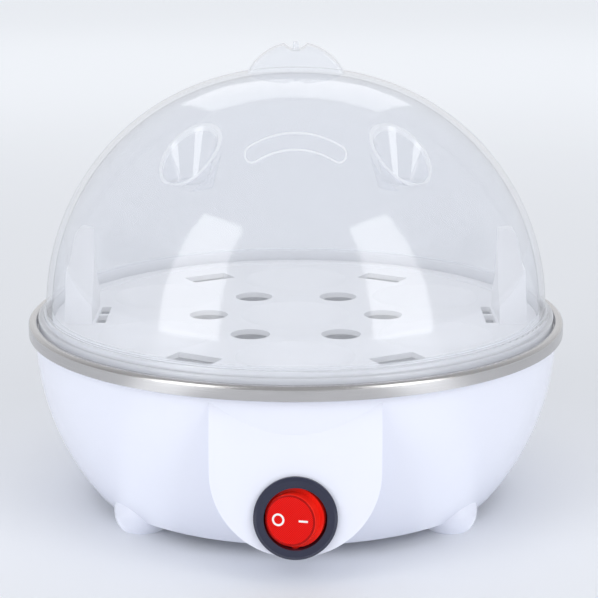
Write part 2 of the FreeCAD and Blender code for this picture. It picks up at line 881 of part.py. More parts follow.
def make_fuse():
    """Thermal fuse in a woven sleeve, held to the plate by a saddle clip."""
    core = primitive("Cylinder", "thermal_fuse", Radius=size.fuse_radius, Height=size.fuse_length)
    along_x(core, -(size.fuse_length / 2))
    skin = primitive("Cylinder", "sleeve_skin", Radius=size.sleeve_radius, Height=size.sleeve_length)
    along_x(skin, -(size.sleeve_length / 2))
    hollow = primitive("Cylinder", "sleeve_hollow", Radius=size.fuse_radius, Height=size.sleeve_length)
    along_x(hollow, -(size.sleeve_length / 2))
    sleeve = solid_of("fuse_sleeve", cut("sleeve_cut", skin, [hollow]))
    thick = size.clip_thick
    inner, outer = size.sleeve_radius, size.sleeve_radius + thick
    foot = outer + size.clip_foot
    y = size.fuse_y
    clip = slab("fuse_clip", "YZ_Plane", [
        (y - foot, size.spreader_low),
        (y - foot, size.spreader_low - thick),
        (y - outer, size.spreader_low - thick),
        (y - outer, size.fuse_z),
        (y, size.fuse_z - outer, outer, 1),
        (y + outer, size.fuse_z, outer, 1),
        (y + outer, size.spreader_low - thick),
        (y + foot, size.spreader_low - thick),
        (y + foot, size.spreader_low),
        (y + inner, size.spreader_low),
        (y + inner, size.fuse_z),
        (y, size.fuse_z - inner, inner, -1),
        (y - inner, size.fuse_z, inner, -1),
        (y - inner, size.spreader_low),
    ], size.clip_width, midplane=True)
    return [core, sleeve, clip]


def make_housing():
    """Black switch housing: bezel, barrel, snap wings and blade slots."""
    edge = size.bezel_height
    turned = revolve("housing_turned", [
        (size.bezel_opening, edge),
        (size.bezel_opening, size.housing_floor),
        (0, size.housing_floor),
        (0, -size.barrel_depth),
        (size.barrel_radius, -size.barrel_depth),
        (size.barrel_radius, 0),
        (size.bezel_radius, 0),
        (size.bezel_radius, edge - size.bezel_chamfer),
        (size.bezel_radius - size.bezel_chamfer, edge),
    ])
    wing_top = -(size.base_wall + size.barrel_play)
    half = size.wing_width / 2
    root_x, tip_x = size.barrel_radius - size.wing_reach / 2, size.barrel_radius + size.wing_reach
    wings = []
    for side in SIDES:
        span = (root_x, tip_x) if side > 0 else (-tip_x, -root_x)
        wings.append(box(f"wing_{side + 1}", span, (-half, half),
                         (wing_top - size.wing_length, wing_top)))
    solid = fuse("housing_solid", [turned] + wings)
    cuts = [cross_cylinder("trunnion_holes", size.trunnion_radius + size.trunnion_play,
                           -size.barrel_radius * 2, size.barrel_radius * 2, 0, size.pivot_z)]
    for index, x in enumerate((-size.contact_x, formula(0.0), size.contact_x)):
        reach_x = size.blade_thick / 2 + size.slot_play
        reach_y = size.blade_width / 2 + size.slot_play
        cuts.append(box(f"blade_slot_{index}", (x - reach_x, x + reach_x), (-reach_y, reach_y),
                        (-size.barrel_depth * 2, size.housing_floor + size.slot_play)))
    room = cylinder("housing_room", size.bezel_opening, size.housing_floor, edge)
    trimmed = cut("housing_trim", solid, [room] + cuts)
    return solid_of("switch_housing", on_face(trimmed))


def tilted(label, pieces, height, angle):
    """Pieces drawn about a pivot, turned to their rest angle and seated on the boss face."""
    turned = group(f"{label}_turned", pieces)
    place(turned, 0, 0, height, Y_AXIS, angle)
    return on_face(group(label, [turned]))


def make_rocker():
    """Red rocker: raised button on a ball-sided skirt with trunnions and the plunger's bore."""
    ball, tail, skirt = size.rocker_ball, size.rocker_tail, size.rocker_skirt
    side, face, soft = size.button_radius, size.rocker_face, size.button_round
    button = revolve("rocker_button", [
        (0, -tail),
        (root(ball * ball - tail * tail), -tail),
        (ball, 0, ball, 1),
        (root(ball * ball - skirt * skirt), skirt, ball, 1),
        (side, skirt),
        (side, face - soft),
        (side - soft, face, soft, 1),
        (0, face),
    ])
    pin_end = size.barrel_radius - size.trunnion_play * 2
    pin = cross_cylinder("rocker_trunnions", size.trunnion_radius, -pin_end, pin_end)
    solid = fuse("rocker_solid", [button, pin])
    bore_top = -size.trunnion_radius - size.blade_thick
    bore = cylinder("rocker_bore", size.plunger_bore, -ball, bore_top)
    rocker = cut("rocker_cut", solid, [bore])
    tip = size.plunger_radius - size.plunger_reach
    rod = cylinder("plunger_rod", size.plunger_radius, tip, bore_top)
    nose = sphere("plunger_nose", size.plunger_radius, 0, 0, tip)
    plunger = fuse("plunger_solid", [rod, nose])
    return [tilted("switch_rocker", [rocker], size.pivot_z, -size.rocker_rest),
            tilted("switch_plunger", [plunger], size.pivot_z, -size.rocker_rest)]


def make_contacts():
    """Rocking contact lever and the three blades that leave the housing."""
    half, depth = size.lever_length / 2, size.lever_width / 2
    lever = box("lever_strip", (-half, half), (-depth, depth),
                (-(size.lever_thick / 2), size.lever_thick / 2))
    tops = (size.contact_top, size.lever_axis - size.lever_thick / 2 - size.contact_gap, size.contact_top)
    blades = []
    for index, x in enumerate((-size.contact_x, formula(0.0), size.contact_x)):
        wide, thin = size.blade_width / 2, size.blade_thick / 2
        blades.append(box(f"switch_blade_{index}", (x - thin, x + thin), (-wide, wide),
                          (size.blade_tip, tops[index])))
    return [tilted("contact_lever", [lever], size.lever_axis, size.lever_rest),
            on_face(group("switch_blades", blades))]


def make_gland():
    """Cord bush through the rear wall, with a flange and a tapered nose."""
    inside = size.gland_y - size.gland_length
    outside = size.gland_y + size.gland_flange_thick
    flange = cross_cylinder("gland_disc", size.gland_flange, size.gland_y, outside, 0, size.gland_z)
    nose = primitive("Cone", "gland_cone", Radius1=size.gland_barrel, Radius2=size.gland_tip,
                     Height=size.gland_nose)
    place(nose, 0, outside, size.gland_z, X_AXIS, -QUARTER)
    barrel = cross_cylinder("gland_tube", size.gland_barrel, inside, size.gland_y, 0, size.gland_z)
    bore = cross_cylinder("gland_hole", size.gland_bore, size.block_front, size.band_radius * 2,
                          0, size.gland_z)
    solid = fuse("gland_solid", [flange, barrel, nose])
    return solid_of("cord_gland", cut("gland_cut", solid, [bore]))


def make_block():
    """Terminal block on the base floor, with its clamp screws."""
    half = size.block_width / 2
    rear = size.block_front + size.block_depth
    top = size.floor_top + size.block_height
    body = box("block_body", (-half, half), (size.block_front, rear), (size.floor_top, top))
    wells, heads = [], []
    for column in COLUMNS:
        for row, share in enumerate(ROW_SHARES):
            x, y = size.block_pitch * column, size.block_front + size.block_depth * share
            low = size.floor_top + size.block_height / 2
            wells.append(cylinder(f"block_well_{column + 1}_{row}",
                                  size.block_screw + size.thread_play, low, top, x, y))
            heads.append(cylinder(f"block_screw_{column + 1}_{row}", size.block_screw, low,
                                  top - size.small_head_height, x, y))
    block = solid_of("terminal_block", cut("block_cut", body, wells))
    return [block, group("terminal_screws", heads)]


def make_lead(label, points):
    """Insulated lead: straight runs joined by tangent arcs."""
    corners = [FreeCAD.Vector(*[formula(value).number for value in point]) for point in points]
    radius = size.lead_radius.number
    edges, start = [], corners[0]
    for before, corner, after in zip(corners, corners[1:], corners[2:]):
        inward, onward = corner - before, after - corner
        half_turn = inward.getAngle(onward) / 2
        setback = BEND_SHARE * min(inward.Length, onward.Length)
        heading, leaving = FreeCAD.Vector(inward).normalize(), FreeCAD.Vector(onward).normalize()
        first, last = corner - heading * setback, corner + leaving * setback
        bisector = (leaving - heading).normalize()
        bend = setback / math.tan(half_turn)
        middle = corner + bisector * (math.hypot(setback, bend) - bend)
        edges += [Part.LineSegment(start, first).toShape(), Part.Arc(first, middle, last).toShape()]
        start = last
    edges.append(Part.LineSegment(start, corners[-1]).toShape())
    path = Part.Wire(edges)
    ring = Part.makeCircle(radius, corners[0], corners[1] - corners[0])
    lead = doc.addObject("Part::Feature", label)
    lead.Shape = path.makePipeShell([Part.Wire([ring])], True, True)
    return lead


def make_leads():
    """Leads from the terminal block to switch, fuse, thermostat and heater."""
    gap = size.lead_gap
    block_y = size.block_front - gap
    block_z = size.floor_top + size.block_height / 2
    tail = size.barrel_depth + size.blade_reach + gap
    tail_y = tail * cosine(size.face_tilt) - size.face_reach
    tail_z = size.switch_z - tail * sine(size.face_tilt)
    half_gap = size.heater_gap_angle / 2
    run = size.bead_length + size.pin_length - size.pin_radius
    pin_x = size.heater_pitch * sine(half_gap) - run * cosine(half_gap)
    pin_y = -(size.heater_pitch * cosine(half_gap)) - run * sine(half_gap)
    pin_z = size.heater_z - size.pin_radius - gap
    blade_x = size.blade_width / 2 + gap
    blade_y = size.thermostat_radius + size.thermostat_blade / 2
    blade_z = size.spreader_low - size.thermostat_cap - size.thermostat_body / 2
    fuse_end = size.fuse_length / 2 + gap
    bend, step, ease = size.lead_bend, size.lead_step, gap * 2
    pitch, contact = size.block_pitch, size.contact_x
    above, below = size.shield_floor + step, size.shield_floor - step
    run_z = size.floor_top + step
    hole_y = size.heater_pitch
    routes = {
        "lead_live": [
            (-pitch, block_y, block_z), (-pitch, block_y - bend, run_z),
            (-pitch, block_y - bend * 5, run_z), (-contact, tail_y + bend * 6, run_z),
            (-(contact / 2), tail_y + bend * 2.5, run_z), (0, tail_y + bend, tail_z - ease),
            (0, tail_y, tail_z)],
        "lead_switched": [
            (-contact, tail_y, tail_z), (-contact, tail_y + bend, tail_z - ease),
            (-contact - ease, pin_y - bend * 2, below), (-pin_x, pin_y - step, below),
            (-pin_x, pin_y, above), (-pin_x, pin_y + gap, pin_z)],
        "lead_neutral": [
            (pitch, block_y, block_z), (pitch, block_y - bend, below), (pitch, hole_y + ease, below),
            (pitch, hole_y - step, above),
            (fuse_end + bend, size.fuse_y + ease * 2, size.fuse_z - step / 2),
            (fuse_end, size.fuse_y, size.fuse_z)],
        "lead_fuse": [
            (-fuse_end, size.fuse_y, size.fuse_z),
            (-fuse_end - bend, size.fuse_y - ease, size.fuse_z - ease),
            (-blade_x - bend, blade_y, blade_z), (-blade_x, blade_y, blade_z)],
        "lead_heater": [
            (blade_x, -blade_y, blade_z), (blade_x + bend, -blade_y - ease, blade_z - ease),
            (blade_x + bend, -blade_y - bend * 2, above), (pin_x, pin_y + step, above),
            (pin_x, pin_y, pin_z)],
    }
    return [make_lead(label, points) for label, points in routes.items()]


def make_tray():
    """Egg tray: rim on the ledge, seven seats, drain holes, slots and two stepped grips."""
    thick = size.tray_thick
    low = size.tray_plate - thick
    inner = size.well_radius - size.tray_well_gap
    disc = revolve("tray_disc", [
        (0, low),
        (inner, low),
        (inner, size.ledge),
        (size.tray_radius, size.ledge),
        (size.tray_radius, size.ledge + thick),
        (size.tray_radius - size.tray_rim, size.ledge + thick),
        (size.tray_radius - size.tray_rim, size.tray_plate),
        (0, size.tray_plate),
    ])
    ball = (size.seat_radius * size.seat_radius + size.seat_depth * size.seat_depth) / (
        2 * size.seat_depth)
    ball_z = size.tray_plate - size.seat_depth + ball
    seats, hollows = [], []
    places = [(formula(0.0), formula(0.0))]
    places += [around(size.seat_pitch, angle) for angle in SEAT_ANGLES]
    for index, (x, y) in enumerate(places):
        shell = sphere(f"seat_ball_{index}", ball + thick, x, y, ball_z)
        limit = cylinder(f"seat_limit_{index}", size.seat_radius + thick,
                         size.tray_plate - size.seat_depth - thick * 2, size.tray_plate - thick / 2, x, y)
        seats.append(common(f"seat_{index}", [shell, limit]))
        hollows.append(sphere(f"seat_hollow_{index}", ball, x, y, ball_z))
    grips = []
    for side in SIDES:
        top = size.tray_plate + size.grip_height
        shelf = size.tray_plate + size.grip_step_rise
        waist = size.grip_outer - size.grip_step * 2
        grip = slab(f"grip_{side + 1}", "XZ_Plane", [
            (size.grip_inner * side, low),
            (size.grip_outer * side, low),
            (waist * side, shelf),
            ((waist - size.grip_step) * side, shelf),
            (size.grip_top_outer * side, top - size.grip_round),
            ((size.grip_top_outer - size.grip_round) * side, top, size.grip_round, side),
            (size.grip_inner * side, top),
        ], size.grip_half * 2, midplane=True)
        grips.append(grip)
    solid = fuse("tray_solid", [disc] + seats + grips)
    cuts = list(hollows)
    deep = size.tray_plate - size.seat_depth * 3
    for step, angle in enumerate(DRAIN_ANGLES):
        x, y = around(size.drain_pitch, angle)
        cuts.append(cylinder(f"drain_{step}", size.drain_radius, deep, size.ledge + thick, x, y))
    for step, angle in enumerate(SLOT_ANGLES):
        slot = box(f"tray_slot_{step}", (-(size.slot_width / 2), size.slot_width / 2),
                   (-(size.slot_length / 2), size.slot_length / 2), (0, size.seat_depth * 4))
        x, y = around(size.slot_pitch, angle)
        place(slot, *turned_corner(x, y, angle, size.slot_width, size.slot_length), deep,
              Z_AXIS, angle)
        cuts.append(slot)
    slot_x = size.grip_inner - size.foot_slot_gap
    for side in SIDES:
        span = (slot_x - size.foot_slot_width, slot_x) if side > 0 else (
            -slot_x, size.foot_slot_width - slot_x)
        for end in SIDES:
            near = size.foot_slot_rib / 2
            far = near + size.foot_slot_length
            reach = (near, far) if end > 0 else (-far, -near)
            cuts.append(box(f"foot_slot_{side + 1}_{end + 1}", span, reach, (deep, size.ledge + thick)))
    return solid_of("egg_tray", cut("tray_cut", solid, cuts))


def turned_corner(x, y, angle, width, length):
    """Corner of a turned box whose middle lies at a place."""
    half_x, half_y = width / 2, length / 2
    return (x - half_x * cosine(angle) + half_y * sine(angle),
            y - half_x * sine(angle) - half_y * cosine(angle))


def make_lid():
    """Translucent dome with flange, knob, two steam vents and an arched raised frame."""
    wall = size.lid_wall
    collar = size.dome_radius + size.collar_width
    collar_top = size.flange_top + size.collar_rise
    soft = size.rim_round

    def dome(label, offset):
        return revolve(label, [
            (0, size.ledge),
            (size.dome_radius + offset, size.ledge),
            (size.dome_radius + offset, size.spring_line),
            (size.crown_flat, size.apex + offset, size.dome_arc + offset, 1),
            (0, size.apex + offset),
        ])

    outside = dome("dome_outside", formula(0.0))
    inside = dome("dome_inside", -wall)
    relief = dome("dome_relief", size.badge_relief)
    rim = revolve("lid_rim", [
        (size.dome_radius - wall, size.ledge),
        (size.flange_radius, size.ledge),
        (size.flange_radius, size.flange_top - soft),
        (size.flange_radius - soft, size.flange_top, soft, 1),
        (collar + soft, size.flange_top),
        (collar, size.flange_top + soft, soft, -1),
        (collar, collar_top - soft),
        (collar - soft, collar_top, soft, 1),
        (size.dome_radius - wall, collar_top),
    ])
    knob_disc = cross_cylinder("knob_disc", size.knob_radius, -(size.knob_thick / 2),
                               size.knob_thick / 2, 0, size.knob_centre)
    knob_soft = primitive("Fillet", "knob_soft")
    knob_soft.Base = knob_disc
    doc.recompute()
    rims = [index for index, edge in enumerate(knob_disc.Shape.Edges, start=1)
            if isinstance(edge.Curve, Part.Circle)]
    knob_soft.Edges = [(index, size.knob_round.number, size.knob_round.number) for index in rims]
    knob_top = size.knob_centre + size.knob_radius
    notch = cross_cylinder("knob_notch", size.notch_radius, -size.knob_thick, size.knob_thick, 0,
                           knob_top - size.notch_depth + size.notch_radius)
    knob = cut("knob", knob_soft, [notch])
    nub_low = knob_top - size.notch_depth - size.nub_radius
    nub_foot = primitive("Cone", "nub_foot", Radius1=size.nub_foot, Radius2=size.nub_radius,
                         Height=size.nub_foot)
    place(nub_foot, 0, 0, nub_low)
    nub = cylinder("nub", size.nub_radius, nub_low, nub_low + size.nub_foot + size.nub_height)
    shell = cut("lid_shell", fuse("lid_full", [outside, rim, knob, nub_foot, nub]), [inside])
    wells, hollows = [], []
    spread = tangent(size.vent_taper)
    for side in SIDES:
        x, y = around(size.vent_pitch, size.vent_azimuth * side - QUARTER)
        low = size.vent_floor - size.vent_wall
        cone = primitive("Cone", f"vent_cone_{side + 1}", Radius1=size.vent_radius + size.vent_wall,
                         Radius2=size.vent_radius + size.vent_wall + size.vent_height * spread,
                         Height=size.vent_height)
        place(cone, x, y, low)
        wells.append(common(f"vent_well_{side + 1}", [cone, outside]))
        hollow = primitive("Cone", f"vent_hollow_{side + 1}", Radius1=size.vent_radius,
                           Radius2=size.vent_radius + size.vent_height * spread,
                           Height=size.vent_height)
        hollows.append(place(hollow, x, y, size.vent_floor))
        hollows.append(cylinder(f"vent_steam_{side + 1}", size.steam_hole,
                                low - size.vent_wall, size.vent_floor + size.vent_wall, x, y))
    half, line = size.badge_half, size.badge_line
    badge_block = cut("badge_block", arched_slot("badge_outer", half),
                      [arched_slot("badge_inner", half - line)])
    badge = common("badge", [badge_block, relief])
    solid = fuse("lid_solid", [shell, badge] + wells)
    clear = cut("lid_clear", solid, [inside_but(wells, inside)] + hollows)
    return solid_of("lid", clear)


def inside_but(wells, inside):
    """Room under the dome, without the vent wells."""
    return cut("lid_room", inside, wells)


def arched_slot(label, half):
    """Arched capsule in front view, run back through the front of the dome."""
    middle, angle, centre = size.badge_radius, size.badge_angle, size.badge_centre

    def at(radius, turn):
        return radius * sine(turn), centre + radius * cosine(turn)

    far, near = middle + half, middle - half
    tip = half / middle * math.degrees(1)
    return slab(label, "XZ_Plane", [
        (*at(far, -angle), half, -1),
        (*at(far, formula(0.0)), far, -1),
        (*at(far, angle), far, -1),
        (*at(middle, angle + tip), half, -1),
        (*at(near, angle), half, -1),
        (*at(near, formula(0.0)), near, 1),
        (*at(near, -angle), near, 1),
        (*at(middle, -angle - tip), half, -1),
    ], size.dome_radius)


def main():
    nodes = [make_dish(), make_seal(), make_base(), make_cover(), make_cover_screws(),
             make_dish_screws(), make_standoffs(), make_shield(), make_spreader()]
    nodes += make_heater()
    nodes += make_thermostat()
    nodes += make_fuse()
    nodes.append(make_housing())
    nodes += make_rocker()
    nodes += make_contacts()
    nodes.append(make_gland())
    nodes += make_block()
    nodes += make_leads()
    nodes += [make_tray(), make_lid()]
    doc.recompute()
    faults = [item.Label for item in doc.Objects if {"Invalid", "Error"} & set(item.State)]
    faults += [node.Label for node in nodes if node.Shape.isNull() or not node.Shape.isValid()]
    if faults:
        raise RuntimeError(f"faulty objects: {faults}")
    os.makedirs("parts", exist_ok=True)
    for node in nodes:
        node.Shape.exportStep(f"parts/{node.Label}.step")
        bounds = node.Shape.BoundBox
        print(f"{node.Label}: {len(node.Shape.Solids)} solids, {node.Shape.Volume:.1f} mm3, "
              f"z {bounds.ZMin:.2f} to {bounds.ZMax:.2f}")


main()
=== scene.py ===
"""Looks of the egg cooker: camera, studio, finishes and the printed switch marks."""

import json
import math

import bpy
from mathutils import Matrix, Vector


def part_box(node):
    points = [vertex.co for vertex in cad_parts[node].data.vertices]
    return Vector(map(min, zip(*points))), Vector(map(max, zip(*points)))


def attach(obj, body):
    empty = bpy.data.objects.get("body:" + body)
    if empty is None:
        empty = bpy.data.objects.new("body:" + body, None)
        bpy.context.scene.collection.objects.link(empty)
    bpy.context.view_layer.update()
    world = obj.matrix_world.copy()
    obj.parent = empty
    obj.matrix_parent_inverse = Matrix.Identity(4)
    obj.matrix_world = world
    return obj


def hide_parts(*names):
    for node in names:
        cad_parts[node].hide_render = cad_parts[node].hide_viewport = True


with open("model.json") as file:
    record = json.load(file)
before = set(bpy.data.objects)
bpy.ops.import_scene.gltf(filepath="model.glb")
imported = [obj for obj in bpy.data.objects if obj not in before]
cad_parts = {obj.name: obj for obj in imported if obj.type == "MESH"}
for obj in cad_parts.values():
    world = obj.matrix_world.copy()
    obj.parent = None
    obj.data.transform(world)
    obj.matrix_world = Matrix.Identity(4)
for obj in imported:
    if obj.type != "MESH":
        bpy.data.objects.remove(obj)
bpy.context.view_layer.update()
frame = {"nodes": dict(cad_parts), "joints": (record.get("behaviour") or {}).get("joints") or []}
MM = 0.001

# Camera, fitted to the steel rim: 598 px frame, focal length in px
FRAME_PX = 598
FOCAL_PX = 1850.5
SENSOR_MM = 36.0
CAMERA_AT = Vector((0.96, -555.3, 197.3)) * MM
CAMERA_DOWN = math.radians(13.87)
CAMERA_NEAR = 0.01

# Surround: its strength as a light, to the camera, and mirrored from the front and the back
WORLD_LEVEL = 0.585
BACKDROP_LEVEL = 0.82
MIRROR_FRONT = 0.56
MIRROR_BACK = 0.95
WORLD_TINT = (0.97, 0.98, 1.0)

# Lamps: place, width and height in metres, power in watts
SIDE_AT = (0.62, -0.60, 0.52)
SIDE_SIZE = (0.42, 1.0)
SIDE_POWER = 3.25
BACK_AT = (0.0, 0.95, 0.85)
BACK_SIZE = (0.9, 0.5)
BACK_POWER = 1.5
TOP_AT = (0.0, -0.15, 1.1)
TOP_SIZE = (0.7, 0.7)
TOP_POWER = 1.4
COOKER_MIDDLE = (0.0, 0.0, 0.07)

# Floor paper: it glows from the near distance to the far one
FLOOR_SIZE = 6.0
FLOOR_NEAR = 0.15
FLOOR_FAR = 1.4
FLOOR_GLOW = 0.32
FLOOR_CLOUDS = 3.0
FLOOR_ROUGHNESS = 0.8
PAPER_DARK = (0.83, 0.85, 0.89)
PAPER_PALE = (0.85, 0.87, 0.91)
PAPER_GLOW = (0.93, 0.965, 1.0)
NO_GLOW = (0.0, 0.0, 0.0)

# Two pale cards on the floor, left and right of the front, which only gloss mirrors
CARD_GLOW = 0.6
CARD_AZIMUTH = math.radians(48.0)
CARD_OUTER = math.radians(15.0)
CARD_INNER = math.radians(5.0)

# Slow clouds in any finish
CLOUD_DETAIL = 3.0

# Turned pieces
ARC_STEPS = 8
SPIN_STEPS = 192
MERGE_WITHIN = 0.002 * MM
SMOOTH_BELOW = math.radians(40.0)

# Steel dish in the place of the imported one, drawn in millimetres from the edge of its rolled band
DISH_LOW, DISH_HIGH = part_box("heating_dish")
DRAWN_TO = 3
SHEET = 0.6
BAND_OUTER = round(DISH_HIGH.x / MM, DRAWN_TO)
BAND_TOP = round(DISH_HIGH.z / MM, DRAWN_TO)
BAND_LOW = BAND_TOP - 4.2
BAND_LIP = BAND_OUTER - 2.6
BAND_HEM = BAND_OUTER - 1.7
DISH_LEDGE = BAND_TOP - 1.8
WELL_WALL = BAND_LIP - 7.4
WELL_FLOOR = round(DISH_LOW.z / MM, DRAWN_TO) + SHEET
WELL_ROUND = 6.0
LEDGE_ROUND = 0.3
LIP_ROUND = 0.6
BAND_ROUND = 1.2
HEM_ROUND = 0.2

# Brushed steel: the well inside this radius is painted brighter, as painted light against the shade it
# lies in under the tray; the band outside it is darker
WELL_EDGE = 76.0 * MM
BAND_DARK = (0.40, 0.39, 0.39)
BAND_PALE = (0.65, 0.64, 0.64)
LIT_WELL_DARK = (0.74, 0.75, 0.78)
LIT_WELL_PALE = (0.84, 0.85, 0.88)
BRUSH_ROUND = 5.0
BRUSH_ACROSS = 9.0 / MM
BRUSH_DETAIL = 4.0
BRUSH_SMEARS = 22.0
BRUSH_ROUGHNESS = 0.12
BRUSH_UNEVEN = 0.08
BRUSH_DEPTH = 0.03 * MM
BRUSH_BUMP = 0.8

# Rocker's own frame: its pivot's axis is up the boss, and at rest it leans to the off side
TILT = next(joint for joint in frame["joints"] if joint["name"] == "rocker_tilt")
UP_BOSS = Vector(TILT["axis"]).normalized()
ACROSS_BOSS = Vector((1, 0, 0))
BOSS_TURN = Matrix((ACROSS_BOSS, UP_BOSS, ACROSS_BOSS.cross(UP_BOSS))).transposed().to_4x4()
ROCKER_LEAN = Matrix.Rotation(math.radians(-TILT["range_deg"][1] / 2), 4, "Y")
ON_ROCKER = Matrix.Translation(TILT["pos_m"]) @ BOSS_TURN @ ROCKER_LEAN
ROCKER_FACE = 5.0 * MM

# Red lens of the rocker, with a fine grid on its face inside a plain rim; a painted glow, stronger on
# its side wall, stands in for light passing through the red plastic
LENS_GRID = 0.62 * MM
LENS_RADIUS = 6.5 * MM
LENS_SKIN = 0.1 * MM
LENS_CLOUDS = 160.0
LENS_ROUGHNESS = 0.12
LENS_UNEVEN = 0.08
LENS_SPECULAR = 0.1
LENS_COAT = 0.07
LENS_COAT_ROUGHNESS = 0.04
LENS_PAINTED_GLOW = 0.1
LENS_DEPTH = 0.06 * MM
LENS_BUMP = 0.4
FACE_DARK = (0.50, 0.002, 0.001)
FACE_BRIGHT = (0.84, 0.006, 0.003)
WALL_GLOW_DARK = (0.72, 0.006, 0.004)
WALL_GLOW_BRIGHT = (0.95, 0.03, 0.015)
RIM_DARK = (0.30, 0.0, 0.0)
RIM_BRIGHT = (0.42, 0.004, 0.002)

# Printed marks on the rocker, measured on its face
MARK_SINK = 0.02 * MM
MARK_PROUD = 0.03 * MM
RING_AT = -3.35 * MM
RING_OUTER = 1.75 * MM
RING_LINE = 0.55 * MM
RING_STEPS = 64
DASH_AT = 3.75 * MM
DASH_SIZE = (2.6 * MM, 0.55 * MM)
INK_SPECKS = 2600.0
INK_DETAIL = 2.0
INK_ROUGHNESS = 0.4
INK_UNEVEN = 0.1
INK_DARK = (0.86, 0.84, 0.83)
INK_PALE = (0.95, 0.94, 0.93)

# Lid plastic: share of white haze in its wall, its slow clouds, its edges and its thick rim
LID_CLEAR = (0.985, 0.99, 1.0)
LID_MILK = (0.95, 0.965, 1.0)
LID_HAZE = 0.2
CLOUD_HAZE = 0.04
EDGE_HAZE = 0.04
RIM_HAZE = 0.6
RIM_HAZE_TOP = 59.2 * MM
RIM_HAZE_FADE = 0.6 * MM
HAZE_THROUGH = 0.65
EDGE_BLEND = 0.3
LID_CLOUDS = 12.0
LID_ROUGHNESS = 0.085
LID_UNEVEN = 0.03
LID_IOR = 1.36
LID_SHEEN = 0.055

# Lid outline, its raised badge and its steam vents, whose edges look whiter too
DOME_CROWN = 4.2 * MM
DOME_ARC = 72.3 * MM
DOME_SPRING = 58.7 * MM
BADGE_RELIEF = 0.35 * MM
BADGE_LOW = 105.0 * MM
BADGE_HIGH = 122.0 * MM
BADGE_WHITE = 0.38
VENT_POLAR = math.radians(42.9)
VENT_AZIMUTH = math.radians(35.0)
VENT_DEPTH = 6.7 * MM
VENT_PITCH = DOME_CROWN + DOME_ARC * math.sin(VENT_POLAR)
VENT_ASIDE = VENT_PITCH * math.sin(VENT_AZIMUTH)
VENT_AHEAD = -VENT_PITCH * math.cos(VENT_AZIMUTH)
VENT_FLOOR = DOME_SPRING + DOME_ARC * math.cos(VENT_POLAR) - VENT_DEPTH
VENT_RADIUS = 6.0 * MM
VENT_SPREAD = math.tan(math.radians(15.0))
VENT_LIP = 0.9 * MM
VENT_WHITE = 0.25

# Moulded plastics: drift of tone and gloss, and surface grain
DRIFT_CLOUDS = 18.0
DRIFT_TONE = 0.97
DRIFT_UNEVEN = 0.06
GRAIN_SCALE = 700.0
GRAIN_DETAIL = 2.0
GRAIN_UNEVEN = 0.05
GRAIN_DEPTH = 0.004 * MM
GRAIN_BUMP = 0.4
COAT_ROUGHNESS = 0.08

# Plain metals: streaks drawn out along one direction
STREAK_SCALE = 160.0
STREAK_STRETCH = (1.0, 1.0, 14.0)
STREAK_DETAIL = 5.0
STREAK_TONE = 0.86
STREAK_UNEVEN = 0.18
STREAK_DEPTH = 0.02 * MM
STREAK_BUMP = 0.3


class Value:
    """A shader socket that takes part in plain arithmetic."""

    def __init__(self, finish, socket):
        self.finish = finish
        self.socket = socket

    def math(self, operation, *others):
        values = dict(enumerate((self,) + others))
        return self.finish.node("Math", {"operation": operation}, values)

    def __add__(self, other):
        return self.math("ADD", other)

    def __sub__(self, other):
        return self.math("SUBTRACT", other)

    def __mul__(self, other):
        return self.math("MULTIPLY", other)

    def __truediv__(self, other):
        return self.math("DIVIDE", other)

    def __rsub__(self, other):
        return self.finish.node("Math", {"operation": "SUBTRACT"}, {0: other, 1: self})

    __radd__ = __add__
    __rmul__ = __mul__


class Finish:
    """The nodes of one material, or of the world around it."""

    def __init__(self, owner):
        owner.use_nodes = True
        self.owner = owner
        self.tree = owner.node_tree
        self.tree.nodes.clear()

    def node(self, kind, settings=None, inputs=None, output=0):
        """Add a node: settings first, then the values or links of its sockets."""
        item = self.tree.nodes.new(f"ShaderNode{kind}")
        for name, value in (settings or {}).items():
            setattr(item, name, value)
        for name, value in (inputs or {}).items():
            socket = item.inputs[name]
            if isinstance(value, Value):
                self.tree.links.new(value.socket, socket)
            else:
                socket.default_value = value
        return Value(self, item.outputs[output])

    def place(self):
        return self.node("TexCoord", output="Object")

    def axes(self, vector=None):
        """The three coordinates of a place, as values."""
        parts = self.node("SeparateXYZ", {}, {"Vector": vector or self.place()})
        return [Value(self, output) for output in parts.socket.node.outputs]

    def noise(self, scale, detail=CLOUD_DETAIL, vector=None):
        inputs = {"Vector": vector or self.place(), "Scale": scale, "Detail": detail}
        return self.node("TexNoise", {}, inputs)

    def mix(self, factor, first, second):
        """Colour between two, each of them a plain colour or a value."""
        first, second = (tone if isinstance(tone, Value) else opaque(tone) for tone in (first, second))
        return self.node("Mix", {"data_type": "RGBA"}, {0: factor, 6: first, 7: second}, output=2)

    def bump(self, height, distance, strength):
        inputs = {"Height": height, "Distance": distance, "Strength": strength}
        return self.node("Bump", {}, inputs)

    def ease(self, value, low, high):
        """Smooth step from 0 at the low value to 1 at the high one."""
        inputs = {"Value": value, "From Min": low, "From Max": high}
        return self.node("MapRange", {"interpolation_type": "SMOOTHSTEP"}, inputs)

    def blend(self, factor, first, second):
        """Mix of two shaders."""
        return self.node("MixShader", {}, {0: factor, 1: first, 2: second})

    def surface(self, inputs):
        return self.node("BsdfPrincipled", {}, inputs)

    def done(self, shader, kind="Material"):
        output = self.tree.nodes.new(f"ShaderNodeOutput{kind}")
        self.tree.links.new(shader.socket, output.inputs["Surface"])
        return self.owner


def new_finish(name):
    return Finish(bpy.data.materials.new(name))


def opaque(colour):
    return (*colour, 1.0)


def shade(colour, amount):
    return tuple(channel * amount for channel in colour)


def span(first, second):
    """Distance from two values at right angles to each other."""
    return (first * first + second * second).math("SQRT")


def between(share, low, high):
    """Value that goes from low to high as a share goes from 0 to 1."""
    return share * (high - low) + low


